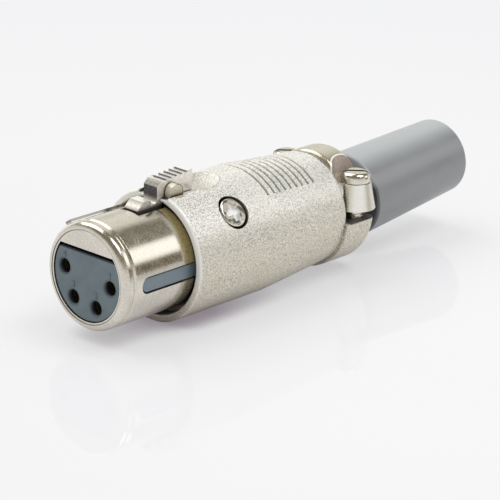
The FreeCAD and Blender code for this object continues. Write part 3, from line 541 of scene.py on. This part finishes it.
def barrel_nickel():
    """The polished nose: a gold band beside the body with dark stains, paler under the rim as painted
    light, a grey key rib, a line round the lip, and painted shade inside the body.
    """
    material, graph = new_material("barrel_nickel")
    place = graph.places()
    color, rough, normal = polished(graph, place, 0.17)
    along = graph.axis(place, "X")
    height = graph.axis(place, "Z")
    radius = graph.radius(place)
    upper = graph.spread(height, *BAND_UPPER_Z, 0.1, 0.9)
    slanted = graph.plus(along, graph.rise(height, *BAND_SLANT_Z, -BAND_SLANT))
    band = graph.times(upper, graph.rise(slanted, BARREL_BAND_X - 0.1, BARREL_BAND_X + 0.1))
    # Painted light: the gold is paler under the rim, where the rim shades it
    gold = graph.mix(graph.rise(along, RIM_X - 0.4, RIM_X + 0.4), GOLD_DEEP, GOLD_PAINTED_LIGHT)
    color = graph.mix(band, color, gold)
    stains = graph.fall(graph.noise(place, 3.0, 2.0, 0.7), 0.40, 0.58, 0.45)
    color = graph.mix(graph.times(band, stains), color, GOLD_STAIN)
    color = graph.mix(graph.rise(radius, BARREL_RADIUS + 0.1, BARREL_RADIUS + 0.2, 0.75), color, KEY_RIB)
    line = graph.times(graph.fall(along, *LIP_X), graph.between(radius, *LIP_LINE, 0.03), 0.8)
    color = graph.mix(line, color, LIP_DARK)
    # Painted shade on the barrel inside the body
    color = graph.mix(graph.rise(along, RIM_X + 0.6, RIM_X + 0.9), color, BARREL_INSIDE_SHADE)
    metal = graph.spread(band, 0.0, 1.0, 1.0, 0.2)
    graph.surface(Base_Color=color, Metallic=metal, Roughness=rough, Normal=normal)
    return material


def lever_nickel():
    """The latch: pale plated sides, painted light on the ridge tops, and painted shade on the faces towards
    the front and below.
    """
    material, graph = new_material("lever_nickel")
    place = graph.places()
    grain = graph.noise(place, 3.4, 2.0, 0.65)
    color = graph.toned(grain, 0.34, 0.66, LEVER, 0.86, 1.12)
    height = graph.axis(place, "Z")
    high = graph.rise(height, LEVER_STEM_TOP, LEVER_STEM_TOP + 1.2, smooth=True)
    # Painted shade on the faces turned to the front, mottled by the grain
    front = graph.rise(graph.facing(FORWARD), 0.4, 0.85)
    ridges = graph.spread(height, LEVER_RIDGE_Z, LEVER_RIDGE_Z + 0.2, 1.0, 0.75)
    face = graph.times(front, high, ridges)
    color = graph.mix(face, color, graph.mix(graph.rise(grain, 0.4, 0.6), LEVER_FACE_SHADE_DARK, LEVER_FACE_SHADE_PALE))
    # Painted light on the upward faces of the pad
    top = graph.rise(graph.facing(UP), 0.75, 0.95)
    color = graph.mix(graph.times(top, high), color, LEVER_TOP_LIGHT)
    # Painted shadow on the stem and hook below the pad
    color = graph.mix(graph.fall(height, BARREL_RADIUS, LEVER_STEM_TOP + 0.2, 0.9), color, LEVER_UNDER_SHADOW)
    # Painted shade in the latch's tight corners
    color = graph.mix(graph.crevice(0.8, 0.2, 0.65), color, CREVICE_SHADE)
    rough = graph.plus(graph.spread(grain, 0.3, 0.7, 0.28, 0.36), graph.times(face, 0.2))
    normal = graph.bump(grain, 0.006, 0.5, graph.soft_edges(0.08))
    graph.surface(Base_Color=color, Metallic=0.6, Roughness=rough, Normal=normal)
    return material


def moulded_plastic():
    """Blue-grey insulator plastic, faintly mottled and matt, with painted shade round its holes, in its
    corners and where it meets the metal, and a painted shadow under the flat.
    """
    material, graph = new_material("blue_grey_moulded")
    place = graph.places()
    grain = graph.noise(place, 3.4, 2.0, 0.6)
    clouds = graph.noise(place, 0.5, 3.0)
    color = graph.toned(clouds, 0.35, 0.65, PLASTIC, 0.93, 1.08)
    color = graph.mix(graph.rise(grain, 0.5, 0.75, 0.3), color, shade(PLASTIC, 1.35))
    radius = graph.radius(place)
    color = graph.mix(graph.rise(radius, RIB_RADIUS, RIB_RADIUS + 0.2), color, PLASTIC_RIB)
    flat = graph.stretched(place, (0.0, 1.0, 1.0))
    # Painted shade round the mouth of each contact hole
    for angle in CONTACT_ANGLES:
        y, z = contact_place(angle)
        away = graph.distance(flat, (0.0, y, z))
        ring = graph.between(away, HOLE_RADIUS, HOLE_RADIUS + 0.25, 0.12)
        color = graph.mix(graph.times(ring, 0.35), color, PLASTIC_SHADE)
    # Painted shade where the face sinks in next to the metal
    deep = graph.rise(graph.axis(place, "X"), FACE_X + 0.1, FACE_X + 0.7)
    near = graph.fall(radius, INSULATOR_RADIUS - 0.3, INSULATOR_RADIUS - 0.15)
    color = graph.mix(graph.times(deep, near), color, PLASTIC_SHADE)
    # Painted shadow along the top, under the flat of the opening
    edge = graph.rise(graph.axis(place, "Z"), INSULATOR_FLAT - 0.3, INSULATOR_FLAT - 0.15, 0.9)
    color = graph.mix(edge, color, PLASTIC_FLAT_SHADOW)
    # Painted shade in tight corners
    color = graph.mix(graph.crevice(0.3, 0.3, 0.6), color, PLASTIC_SHADE)
    rough = graph.spread(grain, 0.3, 0.7, 0.40, 0.52)
    normal = graph.bump(grain, 0.01, 0.4, graph.soft_edges(0.08))
    graph.surface(Base_Color=color, Roughness=rough, Normal=normal)
    return material


def boot_rubber():
    """Grey moulded rubber with painted light on top, painted shade in its low corners, and painted shade on
    its front end with painted light near its top.
    """
    material, graph = new_material("grey_rubber_moulded")
    place = graph.places()
    grain = graph.noise(place, 3.4, 3.0, 0.6)
    clouds = graph.noise(graph.stretched(place, (0.5, 1.0, 1.0)), 0.3, 4.0, 0.55)
    color = graph.toned(clouds, 0.35, 0.65, RUBBER, 0.95, 1.06)
    color = graph.mix(graph.rise(grain, 0.5, 0.75, 0.2), color, shade(RUBBER, 1.3))
    # Painted shade in corners low on the boot
    low = graph.fall(graph.axis(place, "Z"), *BOOT_SHADE_Z)
    color = graph.mix(graph.times(graph.crevice(4.0, 0.35, 0.85), low), color, RUBBER_CORNER_SHADE)
    # Painted light where the boot faces up
    top = graph.rise(graph.facing(UP), 0.7, 0.98, 0.8, smooth=True)
    color = graph.mix(top, color, RUBBER_TOP_LIGHT)
    lean = math.radians(BOOT_LEAN)
    axis = (math.cos(lean), 0.0, math.sin(lean))
    along = graph.measure("DOT_PRODUCT", graph.combine("SUBTRACT", place, BOOT_FRONT), axis)
    # Painted shade on the front end low down, and painted light on it near its top
    front = graph.fall(along, 0.35, 0.5, 0.8)
    color = graph.mix(front, color, graph.mix(low, RUBBER_FRONT_LIGHT_HIGH, RUBBER_FRONT_SHADE_LOW))
    rough = graph.spread(clouds, 0.3, 0.7, 0.27, 0.37)
    normal = graph.bump(grain, 0.012, 0.45)
    graph.surface(Base_Color=color, Roughness=rough, Specular_IOR_Level=0.85, Normal=normal)
    return material


def plated_metal(name, color, roughness):
    """Small inner metal pieces: plating with fine tarnish."""
    material, graph = new_material(name)
    tarnish = graph.noise(graph.places(), 1.2, 4.0, 0.6)
    tone = graph.toned(tarnish, 0.4, 0.7, color, 1.0, 0.7)
    rough = graph.spread(tarnish, 0.3, 0.7, roughness, roughness + 0.15)
    graph.surface(Base_Color=tone, Metallic=1.0, Roughness=rough, Normal=graph.bump(tarnish, 0.004, 0.4))
    return material


def link(piece):
    bpy.context.scene.collection.objects.link(piece)


def add_digit(number, angle, material):
    """A raised contact number on the insulator's face, above its hole."""
    text = bpy.data.curves.new("contact_number_%d" % number, "FONT")
    text.body = str(number)
    text.align_x = "CENTER"
    text.align_y = "CENTER"
    text.size = DIGIT_SIZE * MM
    text.extrude = DIGIT_DEPTH * MM
    text.bevel_depth = DIGIT_BEVEL * MM
    text.materials.append(material)
    piece = bpy.data.objects.new(text.name, text)
    link(piece)
    y, z = contact_place(angle)
    turned = Matrix(((0, 0, -1), (-1, 0, 0), (0, 1, 0))).to_4x4()
    place = Vector((FACE_X - DIGIT_STANDOFF, y, z + DIGIT_RISE))
    piece.matrix_world = Matrix.Translation(place * MM) @ turned
    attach(piece, "connector")


def add_coil(name, centre, low, pitch, turns, section, material):
    """A closed section, given as radius and rise, wound round an upright line from low upwards."""
    count = int(turns * COIL_STEPS)
    corners = len(section)
    verts = []
    faces = []
    for step in range(count + 1):
        turn = math.tau * step / COIL_STEPS
        height = low + pitch * step / COIL_STEPS
        for radius, rise in section:
            x = centre[0] + radius * math.cos(turn)
            y = centre[1] + radius * math.sin(turn)
            verts.append(Vector((x, y, height + rise)) * MM)
    for step in range(count):
        first = step * corners
        for corner in range(corners):
            after = (corner + 1) % corners
            faces.append((first + corner, first + corner + corners, first + after + corners, first + after))
    last = count * corners
    faces.append(tuple(range(corners)))
    faces.append(tuple(reversed(range(last, last + corners))))
    mesh = bpy.data.meshes.new(name)
    mesh.from_pydata(verts, [], faces)
    mesh.materials.append(material)
    piece = bpy.data.objects.new(name, mesh)
    link(piece)
    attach(piece, "connector")
    return piece


def add_thread(name, side, material):
    """A fine screw thread, wound round a clamp screw where it shows between the clamp's halves."""
    low, high = CLAMP_GAP
    inner = CLAMP_THREAD_RADIUS - THREAD_SINK
    half = 0.2 * THREAD_PITCH
    section = ((inner, -half), (CLAMP_THREAD_RADIUS + THREAD_REACH, 0.0), (inner, half))
    centre = (CLAMP_SCREW_X, CLAMP_SCREW_Y * side)
    turns = (high - low) / THREAD_PITCH
    piece = add_coil(name, centre, low, THREAD_PITCH, turns, section, material)


def add_spring():
    """The latch's coil spring, built in place of the model's own spring, which is hidden."""
    section = []
    for corner in range(WIRE_CORNERS):
        turn = math.tau * corner / WIRE_CORNERS
        section.append((SPRING_RADIUS + SPRING_WIRE * math.cos(turn), SPRING_WIRE * math.sin(turn)))
    low, high = SPRING_Z
    pitch = (high - low - SPRING_WIRE * 2) / SPRING_TURNS
    wire = plated_metal("spring_wire", SPRING_STEEL, 0.3)
    piece = add_coil("latch_coil", SPRING_CENTRE, low + SPRING_WIRE, pitch, SPRING_TURNS, section, wire)
    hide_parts("latch_spring")
    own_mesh(piece)


def view_axes():
    """The picture's right, up and backward directions."""
    turn = math.radians(TURN)
    lift = math.radians(LIFT)
    roll = math.radians(ROLL)
    back = Vector((math.sin(turn) * math.cos(lift), -math.cos(turn) * math.cos(lift), math.sin(lift)))
    right = Vector((math.cos(turn), math.sin(turn), 0.0))
    up = back.cross(right)
    turned_right = right * math.cos(roll) + up * math.sin(roll)
    turned_up = up * math.cos(roll) - right * math.sin(roll)
    return turned_right, turned_up, back


def add_camera():
    right, up, back = view_axes()
    place = TARGET - right * OFFSET[0] - up * OFFSET[1] + back * DISTANCE
    data = bpy.data.cameras.new("camera")
    data.sensor_width = SENSOR
    data.lens = FOCAL_PIXELS / PICTURE_PIXELS * SENSOR
    data.clip_start = 0.01
    data.clip_end = 20.0
    camera = bpy.data.objects.new("camera", data)
    link(camera)
    matrix = Matrix((right, up, back)).transposed().to_4x4()
    matrix.translation = place * MM
    camera.matrix_world = matrix
    bpy.context.scene.camera = camera


def floor_white():
    """A pale glossy table top with a painted shadow close to the object's front, fading into the backdrop
    far away.
    """
    material, graph = new_material("floor_white")
    place = graph.places()
    along = graph.axis(place, "X")
    under = graph.times(graph.spread(along, *SHADOW_GROWS_X, 0.6, 1.0), graph.fall(along, *SHADOW_ENDS_X))
    shadow = graph.times(graph.crevice(4.0, 0.15, 0.75), under)
    dim = graph.mix(shadow, FULL_LIGHT, FLOOR_SHADOW)
    haze = graph.rise(graph.noise(place, 0.01, 2.0), 0.3, 0.7)
    color = graph.tint(graph.mix(haze, FLOOR_DULL, FLOOR_PALE), dim)
    inputs = {"Base Color": color, "Roughness": 0.04, "Specular IOR Level": 0.25}
    top = graph.add("BsdfPrincipled", inputs).outputs["BSDF"]
    backdrop = graph.tint(BACKDROP, dim)
    glow = graph.add("Emission", {"Color": backdrop, "Strength": 1.0}).outputs["Emission"]
    fade = graph.spread(graph.measure("LENGTH", place), *FLOOR_FADE, 0.5, 1.0, smooth=True)
    rays = graph.add("LightPath", {}).outputs
    seen = graph.plus(rays["Is Camera Ray"], graph.times(rays["Is Glossy Ray"], 0.65))
    both = graph.add("MixShader", {0: graph.times(fade, seen), 1: top, 2: glow}).outputs["Shader"]
    graph.finish(both)
    return material


def add_floor():
    mesh = bpy.data.meshes.new("floor")
    half = FLOOR_HALF
    corners = [(-half, -half, 0), (half, -half, 0), (half, half, 0), (-half, half, 0)]
    mesh.from_pydata(corners, [], [(0, 1, 2, 3)])
    mesh.materials.append(floor_white())
    floor = bpy.data.objects.new("floor", mesh)
    link(floor)
    floor.location = (TARGET.x * MM, 0.0, REST_Z * MM)


def add_world():
    """A soft studio: dark ceiling, pale back, and round patches such as one bright window at the side."""
    world = bpy.data.worlds.new("studio")
    bpy.context.scene.world = world
    graph = Graph(world)
    ray = graph.add("TexCoord", {}).outputs["Generated"]
    sky = graph.mix(graph.rise(graph.axis(ray, "Z"), 0.1, 0.6, smooth=True), SKY_LOW, SKY_HIGH)
    for toward, edge, core, color in SKY_PATCHES:
        facing = graph.measure("DOT_PRODUCT", ray, Vector(toward).normalized())
        outer = math.cos(math.radians(edge))
        inner = math.cos(math.radians(core))
        sky = graph.mix(graph.rise(facing, outer, inner, smooth=True), sky, color)
    rays = graph.add("LightPath", {}).outputs
    lit = graph.mix(rays["Is Diffuse Ray"], sky, SKY_SOFT)
    shown = graph.mix(rays["Is Camera Ray"], lit, BACKDROP)
    background = graph.add("Background", {"Color": shown, "Strength": 1.0})
    graph.finish(background.outputs["Background"], "OutputWorld")


def add_lamp(name, toward, distance, size, power, color):
    """A soft square lamp aimed at the object."""
    data = bpy.data.lights.new(name, "AREA")
    data.size = size
    data.energy = power
    data.color = color
    lamp = bpy.data.objects.new(name, data)
    link(lamp)
    direction = Vector(toward).normalized()
    lamp.location = TARGET * MM + direction * distance
    lamp.rotation_euler = direction.to_track_quat("Z", "Y").to_euler()


# Materials of the model's own pieces
plastic = moulded_plastic()
screw_metal = screw_nickel()
brass = plated_metal("contact_plating", CONTACT_PLATING, 0.25)
dress = {
    "body_shell": body_nickel(),
    "clamp_saddle": clamp_nickel(),
    "coupling_barrel": barrel_nickel(),
    "latch_lever": lever_nickel(),
    "latch_pin": screw_metal,
    "insert_screw": insert_screw_nickel(),
    "clamp_screw_left": screw_metal,
    "clamp_screw_right": screw_metal,
    "insulator": plastic,
    "contact_1": brass,
    "contact_2": brass,
    "contact_3": brass,
    "contact_4": brass,
    "ground_lug": brass,
    "cable_boot": boot_rubber(),
}
for node, material in dress.items():
    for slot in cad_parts[node].material_slots:
        slot.material = material

# Small pieces that the scene adds
for index, angle in enumerate(CONTACT_ANGLES):
    add_digit(index + 1, angle, plastic)
add_thread("clamp_thread_left", -1, screw_metal)
add_thread("clamp_thread_right", 1, screw_metal)
add_spring()

# Studio
add_camera()
add_floor()
add_world()
add_lamp("key_lamp", toward=(-0.05, 0.55, 0.83), distance=0.6, size=0.5, power=1.55,
         color=(1.0, 0.99, 0.96))
add_lamp("side_lamp", toward=(0.2, -0.4, 0.9), distance=0.6, size=0.3, power=1.2,
         color=(1.0, 1.0, 0.98))
bpy.context.scene.view_settings.view_transform = "Standard"
